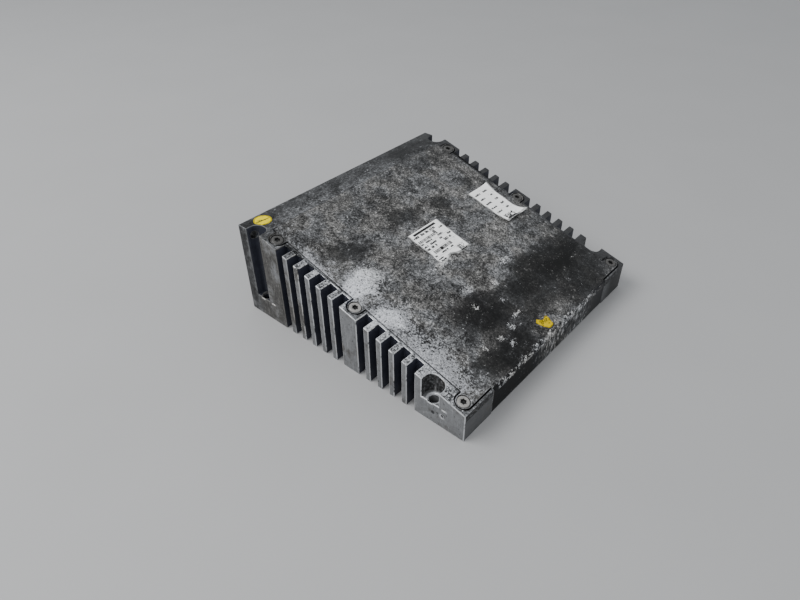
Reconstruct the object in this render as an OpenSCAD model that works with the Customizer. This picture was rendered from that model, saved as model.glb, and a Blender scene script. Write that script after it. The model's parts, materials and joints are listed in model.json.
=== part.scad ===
// Sealed wedge-shaped servo drive with a finned housing, a screwed sloping lid and rear connections.
// Millimetres, +Z up. The origin is the centre of the housing's footprint, on its base.
// The low end looks along -Y and the tall end, with the connections, along +Y.

/* [Housing] */
// Width across the finned sides
body_w = 195; // [192:1:200]
// Length from the low end to the tall end
body_l = 190; // [190:1:194]
// Height at the tall end
tall_h = 69.5; // [68:0.5:74]
// Height of the sloping top at the low end
low_h = 20.8; // [20:0.2:23]
// Width of the flat band along the tall end
band_w = 22; // [22:0.5:24]
// Thickness of the floor under the electronics
floor_t = 8; // [8:0.5:9]

/* [Side fins] */
// Distance between neighbouring fins
fin_pitch = 10; // [10:0.05:10.2]
// Width of the gap between two fins
fin_gap = 6; // [4:0.5:6.5]
// Depth of the gaps from the side faces
fin_depth = 9.4; // [6:0.2:9.6]

/* [Mounting] */
// Distance between the mounting holes across the body
hole_span_x = 186; // [185:0.5:186]
// Diameter of the mounting holes
hole_d = 6.5; // [5.5:0.1:6.6]
// Height of the pocket floors that the bolt heads sit on
flange_h = 15.5; // [12:0.5:16]
// Width of the open pockets above the mounting holes
pocket_w = 13; // [12:0.5:13]

/* [Lid] */
// Thickness of the lid, measured upright
lid_t = 3.1; // [2.8:0.1:3.4]
// Inset of the joint around the lid from the side faces
joint_inset = 11.4; // [11.2:0.1:11.8]
// Width of the open joint around the lid
joint_gap = 1; // [0.6:0.1:1]
// Outer radius of the bend over the low end
bend_r = 4; // [3:0.5:5]
// Diameter of the lid screw heads
screw_head_d = 8.5; // [8:0.1:8.6]

/* [Connections] */
// Distance between neighbouring power terminals
terminal_pitch = 20; // [19:0.5:20]
// Diameter of the tapped holes in the power terminals
terminal_hole_d = 5; // [4.2:0.1:5]
// Number of pins in each row of the signal connector
pins_per_row = 8; // [6:1:9]

/* [Hidden] */
$fn = 48;
eps = 0.01;
over = 1;

half_w = body_w / 2;
half_l = body_l / 2;
bend_y = half_l - band_w;
rise = (tall_h - low_h) / (bend_y + half_l);
slope_deg = atan(rise);

// Side layout: the gaps are centred half a pitch off the grid and leave out the middle block.
gap_limit = 5.5 * fin_pitch;
middle_gap_y = -fin_pitch / 2;

// Bolt holes and the pockets above them
hole_x = hole_span_x / 2;
hole_ys = [half_l - 14.7, -half_l + 25.3];
pocket_back = 9.5;
pocket_r = 5.5;
hole_chamfer = 0.95;
tether_hole_d = 5.2;
tether_hole_x = half_w - 5.4;
tether_hole_z = tall_h - 7;

// Lid joint and ears
joint_x = half_w - joint_inset;
joint_low_y = -half_l + 1.8;
ear_r = 5.2;
ear_x = half_w - 7.6;
ear_ys = [half_l - 30.7, middle_gap_y + 0.5, -half_l + 6.9];
flange_half_w = 69;
flange_gap = 0.6;
flange_face_y = -half_l + 0.3;
flange_t = 3.2;
flange_lift = 0.8;
flange_start_y = -half_l + 15;

// Lid screws
head_h = 2.2;
head_sink = 0.2;
screw_d = 5;
screw_len = 11;
thread_play = 0.05;
socket_r = 1.93;
socket_depth = 1.8;

// Cavity
cavity_half_w = half_w - 15.5;
cavity_low_y = -half_l + 8;
cavity_tall_y = half_l - 10;
opening_tall_y = bend_y - 4;
cavity_roof_z = tall_h - 6;
cavity_r = 3;

// Lid gasket, in a groove in the ledge
gasket_w = 1.6;
gasket_h = 1.2;
gasket_inset = 1.4;

// Stack inside the housing
pad_t = 0.5;
board_t = 1.6;
board_top = floor_t + pad_t + board_t;
board_half_w = 80;
board_low_y = -85;
board_tall_y = 80;
board_screw_xs = [-77, 77];
board_screw_ys = [-80, -26, 72];
control_z = 44;
control_low_y = 24;
control_tall_y = 80;
standoff_x = 76.5;
standoff_ys = [30, 60];
standoff_flats = 6;

// Components on the power board
mosfet = [10, 15, 4.5];
mosfet_pitch = 12.5;
mosfet_rows = [-62, -38];
mosfet_limit = 5.5 * mosfet_pitch;
cap_d = 16;
cap_h = 25;
cap_pitch = 20;
cap_limit = 3 * cap_pitch;
cap_rows = [-12, 8];
cap_base = 1;
film_cap = [26, 7, 12];
film_cap_y = -25.3;
film_cap_pitch = 45;

// Power terminals, from the supply pair to the three phases
terminal_z = 25;
supply_x = -68;
terminal_xs = [for (i = [0:4]) supply_x + i * terminal_pitch];
block_mid_x = supply_x + 2 * terminal_pitch;
block_w = 4 * terminal_pitch + 24;
block_h = 28;
block_t = 5;
spigot_w = block_w - 10;
spigot_h = 18;
boss_d = 17;
boss_h = 3;
bush_d = 12;
bush_top = half_l + block_t + boss_h + 1;
tapped_depth = 13;
bar_t = 2.5;
bar_w = 10;
bar_y = cavity_tall_y - 1 - bar_t;
bar_run_z = 15;
phase_foot_y = 34;
bar_screw_d = 4;
bar_screw_len = 7.5;
block_screw_x = block_w / 2 - 5;
block_screw_z = block_h / 2 - 5;

// Signal connector
plug_mid_x = 56;
plug_z = 32;
plug_w = 42;
plug_h = 20;
plug_wall = 2;
plug_len = 12;
plug_flange = [54, 3, 26];
plug_pin_len = 5;
pin_t = 0.8;
pin_pitch = 4;
pin_row_pitch = 5;
pin_rows = 3;
pin_bend_y = 74;
plug_screw_x = 23.8;
plug_screw_z = 9.5;

// Labels on the lid
label_t = 0.2;
rating_label_size = [31.4, 33.3];
serial_label_size = [23, 38.5];
round_sticker_d = 12.7;
torn_sticker_d = 13;
rating_label_at = [-0.8, 0.4];
serial_label_at = [69.3, 0.9];
round_sticker_at = [-83.2, half_l - 8];
torn_sticker_at = [-0.5, -half_l + 9];

// Dents in one side face: place along the body, height, radius
dent_spots = [
    [-half_l + 22.8, 8.6, 1.3],
    [-half_l + 16, 9.6, 1.8]
];

// Height of the top surface at a distance y along the body
function top_z(y) = y >= bend_y ? tall_h : tall_h - (bend_y - y) * rise;

// Places its children on the sloping top, with +Z square to the slope.
module on_slope(x, y) {
    translate([x, y, top_z(y)])
        rotate([slope_deg, 0, 0])
            children();
}

// Turns a shape drawn in length and height into a solid across the body.
module across(from_x, to_x) {
    translate([from_x, 0, 0])
        rotate([90, 0, 90])
            linear_extrude(to_x - from_x)
                children();
}

module mirrored_pair() {
    children();
    mirror([1, 0, 0])
        children();
}

// A cylinder along +Y that starts at y
module along_y(d, from_y, to_y) {
    translate([0, from_y, 0])
        rotate([-90, 0, 0])
            cylinder(d = d, h = to_y - from_y);
}

module rounded_rect(x0, x1, y0, y1, r) {
    translate([x0 + r, y0])
        square([x1 - x0 - 2 * r, y1 - y0]);
    translate([x0, y0 + r])
        square([x1 - x0, y1 - y0 - 2 * r]);
    for (x = [x0 + r, x1 - r], y = [y0 + r, y1 - r])
        translate([x, y])
            circle(r);
}

// The side view between the slope lowered by near_drop and the slope lowered by far_drop
module slope_strip(low_y, high_y, near_drop, far_drop) {
    polygon([
        [low_y, top_z(low_y) - far_drop],
        [high_y, top_z(high_y) - far_drop],
        [high_y, top_z(high_y) - near_drop],
        [low_y, top_z(low_y) - near_drop]
    ]);
}

// Plan of the lid, or of the recess that it lies in, grown from the joint's middle line by grow
module lid_plan(grow) {
    side = joint_x + grow;
    translate([-side, joint_low_y - grow])
        square([2 * side, bend_y - joint_low_y + 2 * grow]);
    for (s = [-1, 1], y = ear_ys) {
        translate([s * ear_x, y])
            circle(ear_r + grow);
        translate([s * (ear_x + joint_x - 2) / 2, y])
            square([ear_x - joint_x + 2, 2 * (ear_r + grow)], center = true);
    }
}

module housing_blank() {
    across(-half_w, half_w)
        polygon([
            [-half_l, 0],
            [half_l, 0],
            [half_l, tall_h],
            [bend_y, tall_h],
            [-half_l, low_h]
        ]);
}

module fin_gaps() {
    for (y = [-gap_limit : fin_pitch : gap_limit])
        if (abs(y - middle_gap_y) > fin_gap)
            translate([half_w - fin_depth, y - fin_gap / 2, -over])
                cube([fin_depth + over, fin_gap, tall_h + 2 * over]);
}

module mounting_pocket(y) {
    translate([0, y, flange_h])
        linear_extrude(tall_h)
            rounded_rect(
                half_w - pocket_back,
                half_w + 2 * pocket_r,
                -pocket_w / 2,
                pocket_w / 2,
                pocket_r
            );
}

module mounting_hole(y) {
    translate([hole_x, y, -over])
        cylinder(d = hole_d, h = flange_h + 2 * over);
    translate([hole_x, y, flange_h - hole_chamfer])
        cylinder(d1 = hole_d, d2 = hole_d + 2 * hole_chamfer, h = hole_chamfer + eps);
}

// A hole from each tall pocket to the tall end, for a tether or a lock wire
module tether_hole() {
    translate([tether_hole_x, 0, tether_hole_z])
        along_y(tether_hole_d, hole_ys[0], half_l + over);
}

module cavity() {
    across(-cavity_half_w, cavity_half_w)
        polygon([
            [cavity_low_y, floor_t],
            [cavity_tall_y, floor_t],
            [cavity_tall_y, cavity_roof_z],
            [opening_tall_y, cavity_roof_z],
            [opening_tall_y, tall_h + over],
            [cavity_low_y, tall_h + over]
        ]);
}

// Recess for the lid, down to the ledge that it rests on
module lid_recess() {
    intersection() {
        linear_extrude(tall_h + over)
            lid_plan(joint_gap / 2);
        across(-half_w, half_w)
            slope_strip(-half_l - over, bend_y + joint_gap / 2, -tall_h, lid_t);
    }
    translate([-flange_half_w - flange_gap, -half_l - over, -over])
        cube([2 * (flange_half_w + flange_gap), over + flange_t + 0.4, tall_h]);
}

module gasket_outline(grow, r) {
    rounded_rect(
        -cavity_half_w - grow,
        cavity_half_w + grow,
        cavity_low_y - grow + 0.4,
        opening_tall_y + grow - 0.4,
        r
    );
}

module gasket_plan() {
    inset = gasket_inset;
    outer = inset + gasket_w;
    difference() {
        gasket_outline(outer, cavity_r);
        gasket_outline(inset, cavity_r - gasket_w);
    }
}

module gasket_body(top_drop) {
    intersection() {
        linear_extrude(tall_h)
            gasket_plan();
        across(-half_w, half_w)
            slope_strip(-half_l, bend_y, top_drop, lid_t + gasket_h);
    }
}

module lid_screw_holes() {
    for (y = ear_ys)
        on_slope(ear_x, y)
            translate([0, 0, -screw_len - over])
                cylinder(d = screw_d + 2 * thread_play, h = screw_len);
}

// Two shallow round dents near the low end of one side face
module side_dents() {
    for (spot = dent_spots)
        translate([-half_w - 0.7 * spot[2], spot[0], spot[1]])
            sphere(d = 2 * spot[2]);
}

module terminal_window() {
    translate([block_mid_x - spigot_w / 2, cavity_tall_y - over, terminal_z - spigot_h / 2])
        cube([spigot_w, half_l - cavity_tall_y + 2 * over, spigot_h]);
    for (s = [-1, 1], t = [-1, 1])
        translate([block_mid_x + s * block_screw_x, 0, terminal_z + t * block_screw_z])
            along_y(4, half_l - 8, half_l + over);
}

module signal_window() {
    translate([plug_mid_x - plug_w / 2, cavity_tall_y - over, plug_z - plug_h / 2])
        cube([plug_w, half_l - cavity_tall_y + 2 * over, plug_h]);
    for (s = [-1, 1], t = [-1, 1])
        translate([plug_mid_x + s * plug_screw_x, 0, plug_z + t * plug_screw_z])
            along_y(3, half_l - 7, half_l + over);
}

module board_screw_places() {
    for (x = board_screw_xs, y = board_screw_ys)
        translate([x, y, 0])
            children();
}

module housing() {
    color("darkgray")
        difference() {
            housing_blank();
            cavity();
            lid_recess();
            gasket_body(0);
            mirrored_pair() {
                fin_gaps();
                lid_screw_holes();
                tether_hole();
                for (y = hole_ys) {
                    mounting_pocket(y);
                    mounting_hole(y);
                }
            }
            side_dents();
            terminal_window();
            signal_window();
            board_screw_places()
                translate([0, 0, floor_t - 6])
                    cylinder(d = 3, h = 6 + over);
        }
}

// Side view of the lid's low end: the slope, the round bend and the flange
module bend_profile() {
    arc_y = flange_face_y + bend_r;
    arc_z = top_z(arc_y) - bend_r / cos(slope_deg);
    difference() {
        union() {
            slope_strip(flange_face_y, flange_start_y, 0, lid_t);
            translate([flange_face_y, flange_lift])
                square([flange_t, top_z(flange_face_y) - flange_lift - 1]);
        }
        difference() {
            polygon([
                [arc_y, arc_z],
                [flange_face_y - eps, arc_z],
                [flange_face_y - eps, top_z(flange_face_y) + eps],
                [arc_y - bend_r * sin(slope_deg), arc_z + bend_r * cos(slope_deg) + eps]
            ]);
            translate([arc_y, arc_z])
                circle(bend_r);
        }
    }
}

module lid() {
    color([0.25, 0.25, 0.26])
        difference() {
            union() {
                difference() {
                    intersection() {
                        linear_extrude(tall_h + over)
                            lid_plan(-joint_gap / 2);
                        across(-half_w, half_w)
                            slope_strip(-half_l, bend_y, 0, lid_t);
                    }
                    translate([-flange_half_w, -half_l - over, -over])
                        cube([2 * flange_half_w, flange_start_y + half_l + over - 0.1, tall_h]);
                }
                across(-flange_half_w, flange_half_w)
                    bend_profile();
            }
            mirrored_pair()
                for (y = ear_ys)
                    on_slope(ear_x, y) {
                        translate([0, 0, -head_h - head_sink])
                            cylinder(d = screw_head_d + 0.3, h = head_h + over);
                        translate([0, 0, -lid_t - over])
                            cylinder(d = screw_d + 0.5, h = lid_t + over);
                    }
        }
}

module lid_gasket() {
    color("black")
        gasket_body(lid_t);
}

// Six-lobed driver socket
module lobed_socket(r, depth) {
    translate([0, 0, -depth])
        linear_extrude(depth + over)
            union() {
                circle(r * 0.78);
                for (a = [0:60:300])
                    rotate(a)
                        translate([r * 0.75, 0])
                            circle(r * 0.25);
            }
}

module lid_screw() {
    difference() {
        union() {
            translate([0, 0, -head_h])
                cylinder(d = screw_head_d, h = head_h);
            translate([0, 0, -screw_len])
                cylinder(d = screw_d, h = screw_len - head_h + eps);
        }
        lobed_socket(socket_r, socket_depth);
    }
}

module lid_screws() {
    color("silver")
        mirrored_pair()
            for (y = ear_ys)
                on_slope(ear_x, y)
                    translate([0, 0, -head_sink])
                        lid_screw();
}

module label_plate(size) {
    translate([-size[0] / 2, -size[1] / 2, 0])
        cube([size[0], size[1], label_t]);
}

module rating_label() {
    color("white")
        on_slope(rating_label_at[0], rating_label_at[1])
            label_plate(rating_label_size);
}

module serial_label() {
    color("white")
        on_slope(serial_label_at[0], serial_label_at[1])
            label_plate(serial_label_size);
}

module round_sticker() {
    color("yellow")
        translate([round_sticker_at[0], round_sticker_at[1], tall_h])
            cylinder(d = round_sticker_d, h = label_t);
}

module torn_sticker() {
    color("yellow")
        on_slope(torn_sticker_at[0], torn_sticker_at[1])
            cylinder(d = torn_sticker_d, h = label_t);
}

module at_each_terminal() {
    for (x = terminal_xs)
        translate([x, 0, terminal_z])
            children();
}

module block_screw_places() {
    for (s = [-1, 1], t = [-1, 1])
        translate([block_mid_x + s * block_screw_x, 0, terminal_z + t * block_screw_z])
            children();
}

// A plate that stands on the tall end's face, w wide and h high
module end_plate(mid_x, mid_z, w, h, from_y, to_y) {
    translate([mid_x - w / 2, from_y, mid_z - h / 2])
        cube([w, to_y - from_y, h]);
}

module terminal_block() {
    face_y = half_l + block_t;
    color([0.1, 0.1, 0.11])
        difference() {
            union() {
                end_plate(block_mid_x, terminal_z, block_w, block_h, half_l + pad_t, face_y);
                end_plate(block_mid_x, terminal_z, spigot_w - 0.4, spigot_h - 0.4, cavity_tall_y, face_y);
                at_each_terminal()
                    along_y(boss_d, face_y - 1, face_y + boss_h);
            }
            at_each_terminal()
                along_y(bush_d, cavity_tall_y - over, bush_top + over);
            block_screw_places()
                along_y(4.4, half_l - over, face_y + over);
        }
}

module terminal_gasket() {
    color("black")
        difference() {
            end_plate(block_mid_x, terminal_z, block_w, block_h, half_l, half_l + pad_t);
            end_plate(block_mid_x, terminal_z, spigot_w, spigot_h, half_l - over, half_l + pad_t + over);
            block_screw_places()
                along_y(4.4, half_l - over, half_l + pad_t + over);
        }
}

module terminal_bushes() {
    color("gold")
        at_each_terminal()
            difference() {
                along_y(bush_d, cavity_tall_y - 1, bush_top);
                along_y(terminal_hole_d, bush_top - tapped_depth, bush_top + over);
                along_y(bar_screw_d, cavity_tall_y - 2, bar_y + bar_screw_len + 0.2);
            }
}

// A socket-head screw along -Y whose head rests at face_y
module end_screw(d, head_d, head_t, face_y, len) {
    difference() {
        union() {
            along_y(d, face_y - len, face_y + eps);
            along_y(head_d, face_y, face_y + head_t);
        }
        translate([0, face_y + head_t * 0.4, 0])
            rotate([-90, 0, 0])
                cylinder(d = d * 0.75, h = head_t, $fn = 6);
    }
}

module terminal_block_screws() {
    color("silver")
        block_screw_places()
            end_screw(3.9, 7, 3.5, half_l + block_t, block_t + 7.5);
}

module signal_screw_places() {
    for (s = [-1, 1], t = [-1, 1])
        translate([plug_mid_x + s * plug_screw_x, 0, plug_z + t * plug_screw_z])
            children();
}

module at_each_pin() {
    for (i = [0 : pins_per_row - 1], j = [0 : pin_rows - 1])
        translate([
            plug_mid_x + (i - (pins_per_row - 1) / 2) * pin_pitch,
            0,
            plug_z + (j - (pin_rows - 1) / 2) * pin_row_pitch
        ])
            children();
}

module signal_header() {
    face_y = half_l + pad_t + plug_flange[1];
    mouth_y = half_l + plug_len;
    socket_w = plug_w - 2 * plug_wall;
    socket_h = plug_h - 2 * plug_wall;
    color([0.12, 0.12, 0.13])
        difference() {
            union() {
                end_plate(plug_mid_x, plug_z, plug_flange[0], plug_flange[2], half_l + pad_t, face_y);
                end_plate(plug_mid_x, plug_z, plug_w - 0.4, plug_h - 0.4, cavity_tall_y, mouth_y);
            }
            end_plate(plug_mid_x, plug_z, socket_w, socket_h, half_l, mouth_y + over);
            signal_screw_places()
                along_y(3.4, half_l - over, mouth_y);
            at_each_pin()
                translate([-pin_t / 2 - 0.05, cavity_tall_y - over, -pin_t / 2 - 0.05])
                    cube([pin_t + 0.1, plug_len + over, pin_t + 0.1]);
        }
}

module signal_gasket() {
    color("orange")
        difference() {
            end_plate(plug_mid_x, plug_z, plug_flange[0], plug_flange[2], half_l, half_l + pad_t);
            end_plate(plug_mid_x, plug_z, plug_w, plug_h, half_l - over, half_l + pad_t + over);
            signal_screw_places()
                along_y(3.4, half_l - over, half_l + pad_t + over);
        }
}

// Each pin runs in from the socket and turns up into the control board.
module signal_pins() {
    color("gold")
        for (i = [0 : pins_per_row - 1], j = [0 : pin_rows - 1]) {
            x = plug_mid_x + (i - (pins_per_row - 1) / 2) * pin_pitch;
            z = plug_z + (j - (pin_rows - 1) / 2) * pin_row_pitch;
            turn_y = pin_bend_y - j * 2.5 + 5;
            translate([x - pin_t / 2, turn_y, z - pin_t / 2])
                cube([pin_t, half_l + plug_pin_len - turn_y, pin_t]);
            translate([x - pin_t / 2, turn_y, z - pin_t / 2])
                cube([pin_t, pin_t, control_z + board_t + 1 - z]);
        }
}

module signal_screws() {
    color("silver")
        signal_screw_places()
            end_screw(2.9, 5.5, 3, half_l + pad_t + plug_flange[1], plug_flange[1] + 6);
}

module flat_board(low_y, high_y, z, t) {
    translate([-board_half_w, low_y, z])
        cube([2 * board_half_w, high_y - low_y, t]);
}

module thermal_pad() {
    color("lightblue")
        difference() {
            flat_board(board_low_y, board_tall_y, floor_t, pad_t);
            board_screw_places()
                cylinder(d = 3.4, h = tall_h);
        }
}

module power_board() {
    color("darkgreen")
        difference() {
            flat_board(board_low_y, board_tall_y, floor_t + pad_t, board_t);
            board_screw_places()
                cylinder(d = 3.4, h = tall_h);
        }
}

// A socket-head screw that stands on a board with its head down to seat_z
module board_screw(seat_z, len) {
    translate([0, 0, seat_z])
        rotate([90, 0, 0])
            end_screw(2.9, 5.5, 2.6, 0, len);
}

module power_board_screws() {
    color("silver")
        board_screw_places()
            board_screw(board_top, 7);
}

module mosfets() {
    color([0.15, 0.15, 0.16])
        for (x = [-mosfet_limit : mosfet_pitch : mosfet_limit], y = mosfet_rows)
            translate([x - mosfet[0] / 2, y - mosfet[1] / 2, board_top])
                cube(mosfet);
}

module film_capacitors() {
    color("firebrick")
        for (i = [-1:1])
            translate([i * film_cap_pitch - film_cap[0] / 2, film_cap_y - film_cap[1] / 2, board_top])
                cube(film_cap);
}

module at_each_cap() {
    for (x = [-cap_limit : cap_pitch : cap_limit], y = cap_rows)
        translate([x, y, board_top])
            children();
}

module dc_capacitors() {
    color([0.15, 0.2, 0.35])
        at_each_cap()
            rotate_extrude()
                polygon([
                    [0, 0],
                    [cap_d / 2, 0],
                    [cap_d / 2, cap_h - 1],
                    [cap_d / 2 - 1, cap_h],
                    [0, cap_h]
                ]);
}

module capacitor_tray() {
    tray_half_w = cap_limit + cap_d / 2 + 3;
    low_y = cap_rows[0] - cap_d / 2 - 1.2;
    high_y = cap_rows[1] + cap_d / 2 + 1.2;
    color("dimgray")
        difference() {
            translate([-tray_half_w, low_y, board_top + cap_base])
                cube([2 * tray_half_w, high_y - low_y, 5]);
            at_each_cap()
                cylinder(d = cap_d + 0.2, h = cap_h);
        }
}

// A bent strip from a terminal, along the board and down to a foot at foot_y
module busbar(x, foot_y, foot_len) {
    down_y = foot_y + foot_len - bar_t;
    difference() {
        across(x - bar_w / 2, x + bar_w / 2)
            polygon([
                [foot_y, board_top],
                [foot_y + foot_len, board_top],
                [foot_y + foot_len, bar_run_z],
                [bar_y + bar_t, bar_run_z],
                [bar_y + bar_t, terminal_z + 8],
                [bar_y, terminal_z + 8],
                [bar_y, bar_run_z + bar_t],
                [down_y, bar_run_z + bar_t],
                [down_y, board_top + bar_t],
                [foot_y, board_top + bar_t]
            ]);
        translate([x, 0, terminal_z])
            along_y(bar_screw_d + 0.2, bar_y - over, bar_y + bar_t + over);
    }
}

// A flat bar along one row of capacitor terminals
module cross_bar(y) {
    translate([-66, y, board_top])
        cube([132, 5, bar_t]);
}

module positive_busbar() {
    color("peru") {
        busbar(terminal_xs[0], 20, 5);
        cross_bar(20);
    }
}

module negative_busbar() {
    color("peru") {
        busbar(terminal_xs[1], 27, 5);
        cross_bar(27);
    }
}

module phase_busbars() {
    color("peru")
        for (i = [2:4])
            busbar(terminal_xs[i], phase_foot_y, 8);
}

// Screws that clamp the busbars to the terminals, driven from inside
module busbar_screws() {
    color("silver")
        at_each_terminal()
            mirror([0, 1, 0])
                end_screw(bar_screw_d - 0.1, 7, 3, -bar_y, bar_screw_len);
}

module current_sensors() {
    color("darkslategray")
        for (i = [2, 4])
            translate([terminal_xs[i], 56, board_top])
                difference() {
                    translate([-9, -5, 0])
                        cube([18, 10, 14]);
                    translate([-bar_w / 2 - 0.6, -6, bar_run_z - board_top - 0.6])
                        cube([bar_w + 1.2, 12, bar_t + 1.2]);
                }
}

module temperature_sensor() {
    color("ivory")
        translate([-3, -51.5, board_top])
            cube([6, 3, 2]);
}

module at_each_standoff() {
    for (s = [-1, 1], y = standoff_ys)
        translate([s * standoff_x, y, 0])
            children();
}

module board_standoffs() {
    color("gold")
        at_each_standoff()
            difference() {
                translate([0, 0, board_top])
                    cylinder(d = standoff_flats / cos(30), h = control_z - board_top, $fn = 6);
                translate([0, 0, control_z - 8])
                    cylinder(d = 3, h = 8 + over);
            }
}

module control_board() {
    color("green")
        difference() {
            flat_board(control_low_y, control_tall_y, control_z, board_t);
            at_each_standoff()
                cylinder(d = 3.4, h = tall_h);
            for (i = [0 : pins_per_row - 1], j = [0 : pin_rows - 1])
                translate([
                    plug_mid_x + (i - (pins_per_row - 1) / 2) * pin_pitch - 0.5,
                    pin_bend_y - j * 2.5 + 5 - 0.1,
                    control_z - over
                ])
                    cube([1, 1, board_t + 2 * over]);
        }
}

module board_screws() {
    color("silver")
        at_each_standoff()
            board_screw(control_z + board_t, 7);
}

module on_control_board(x, y, size) {
    translate([x - size[0] / 2, y - size[1] / 2, control_z + board_t])
        cube(size);
}

module processor() {
    color([0.1, 0.1, 0.1])
        on_control_board(20, 50, [18, 18, 1.8]);
}

module driver_chips() {
    color([0.1, 0.1, 0.1])
        for (i = [-1:1])
            on_control_board(i * 24 - 30, 34, [8, 11, 2.4]);
}

module power_inductor() {
    color([0.3, 0.3, 0.3])
        on_control_board(-46, 62, [15, 15, 8]);
}

module stacking_header() {
    color("black")
        translate([28, 36, board_top])
            cube([40, 5, control_z - board_top]);
}

housing();
lid();
lid_gasket();
lid_screws();
rating_label();
serial_label();
round_sticker();
torn_sticker();
terminal_block();
terminal_gasket();
terminal_bushes();
terminal_block_screws();
signal_header();
signal_gasket();
signal_pins();
signal_screws();
thermal_pad();
power_board();
power_board_screws();
mosfets();
film_capacitors();
dc_capacitors();
capacitor_tray();
positive_busbar();
negative_busbar();
phase_busbars();
busbar_screws();
current_sensors();
temperature_sensor();
board_standoffs();
control_board();
board_screws();
processor();
driver_chips();
power_inductor();
stacking_header();
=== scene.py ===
"""Looks for the sealed servo drive: worn lid, machined housing, labels and connections, in metres."""

import functools
import json
import math
import random

import bmesh
import bpy
from mathutils import Matrix, Vector


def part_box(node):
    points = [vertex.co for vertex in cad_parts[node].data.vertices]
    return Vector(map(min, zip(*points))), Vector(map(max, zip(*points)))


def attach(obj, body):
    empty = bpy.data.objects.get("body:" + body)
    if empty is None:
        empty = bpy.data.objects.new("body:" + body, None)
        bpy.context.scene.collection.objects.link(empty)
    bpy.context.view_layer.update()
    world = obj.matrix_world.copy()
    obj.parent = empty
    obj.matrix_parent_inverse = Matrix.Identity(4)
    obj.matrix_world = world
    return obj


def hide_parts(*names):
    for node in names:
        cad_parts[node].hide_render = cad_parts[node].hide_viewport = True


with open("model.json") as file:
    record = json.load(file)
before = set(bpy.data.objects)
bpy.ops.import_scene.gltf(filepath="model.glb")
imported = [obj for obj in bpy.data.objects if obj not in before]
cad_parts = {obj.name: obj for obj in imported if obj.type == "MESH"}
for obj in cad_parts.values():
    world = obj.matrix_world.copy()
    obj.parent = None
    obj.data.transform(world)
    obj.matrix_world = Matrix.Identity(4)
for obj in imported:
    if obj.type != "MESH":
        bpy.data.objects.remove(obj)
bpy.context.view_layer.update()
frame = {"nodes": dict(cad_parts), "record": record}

MM = 0.001
BODY = "root"
SLOT_OF = {part["node"]: part["material_slot"] for part in frame["record"]["subparts"]}

# Vertices of a CAD mesh that are closer than this, in mm, are one
SAME_PLACE = 0.001

# Corners of the housing and the low corner of the lid in millimetres, read from the frame
HOUSING_LOW, HOUSING_HIGH = [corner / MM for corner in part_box("housing")]
LID_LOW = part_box("lid")[0] / MM

# The sloping top: it falls from the flat band along the tall end, this wide, to the low end
BAND_W = 22
LOW_H = 20.8
TALL_H = HOUSING_HIGH.z
BEND_Y = HOUSING_HIGH.y - BAND_W
RISE = (TALL_H - LOW_H) / (BEND_Y - HOUSING_LOW.y)
SLOPE = math.atan(RISE)
ACROSS = Vector((1, 0, 0))
UPHILL = Vector((0, math.cos(SLOPE), math.sin(SLOPE)))
OUTWARD = Vector((0, -math.sin(SLOPE), math.cos(SLOPE)))

# The joint around the lid: its inner and outer sides along the body, and its side at the tall end
LID_SIDE = 85.6
JOINT_SIDE = 86.6
JOINT_TALL_Y = 73.5


def top_z(y):
    """Height of the top surface, in mm, at a distance y along the body."""
    return TALL_H - max(0.0, BEND_Y - y) * RISE


def middle(node):
    """The middle of a CAD node's box, in mm."""
    low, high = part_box(node)
    return (low + high) / 2 / MM


def solid_boxes(node):
    """The box in mm of each loose solid of a CAD node, as its low and high corners."""
    bm = bmesh.new()
    bm.from_mesh(frame["nodes"][node].data)
    bmesh.ops.remove_doubles(bm, verts=bm.verts[:], dist=SAME_PLACE * MM)
    left = set(bm.verts)
    found = []
    while left:
        stack = [left.pop()]
        group = list(stack)
        while stack:
            for edge in stack.pop().link_edges:
                for vert in edge.verts:
                    if vert in left:
                        left.remove(vert)
                        group.append(vert)
                        stack.append(vert)
        points = [vert.co / MM for vert in group]
        low = Vector([min(p[i] for p in points) for i in range(3)])
        high = Vector([max(p[i] for p in points) for i in range(3)])
        found.append((low, high))
    bm.free()
    return sorted(found, key=lambda box: tuple(round(c, 3) for c in box[0]))


# ----- shader graphs

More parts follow.
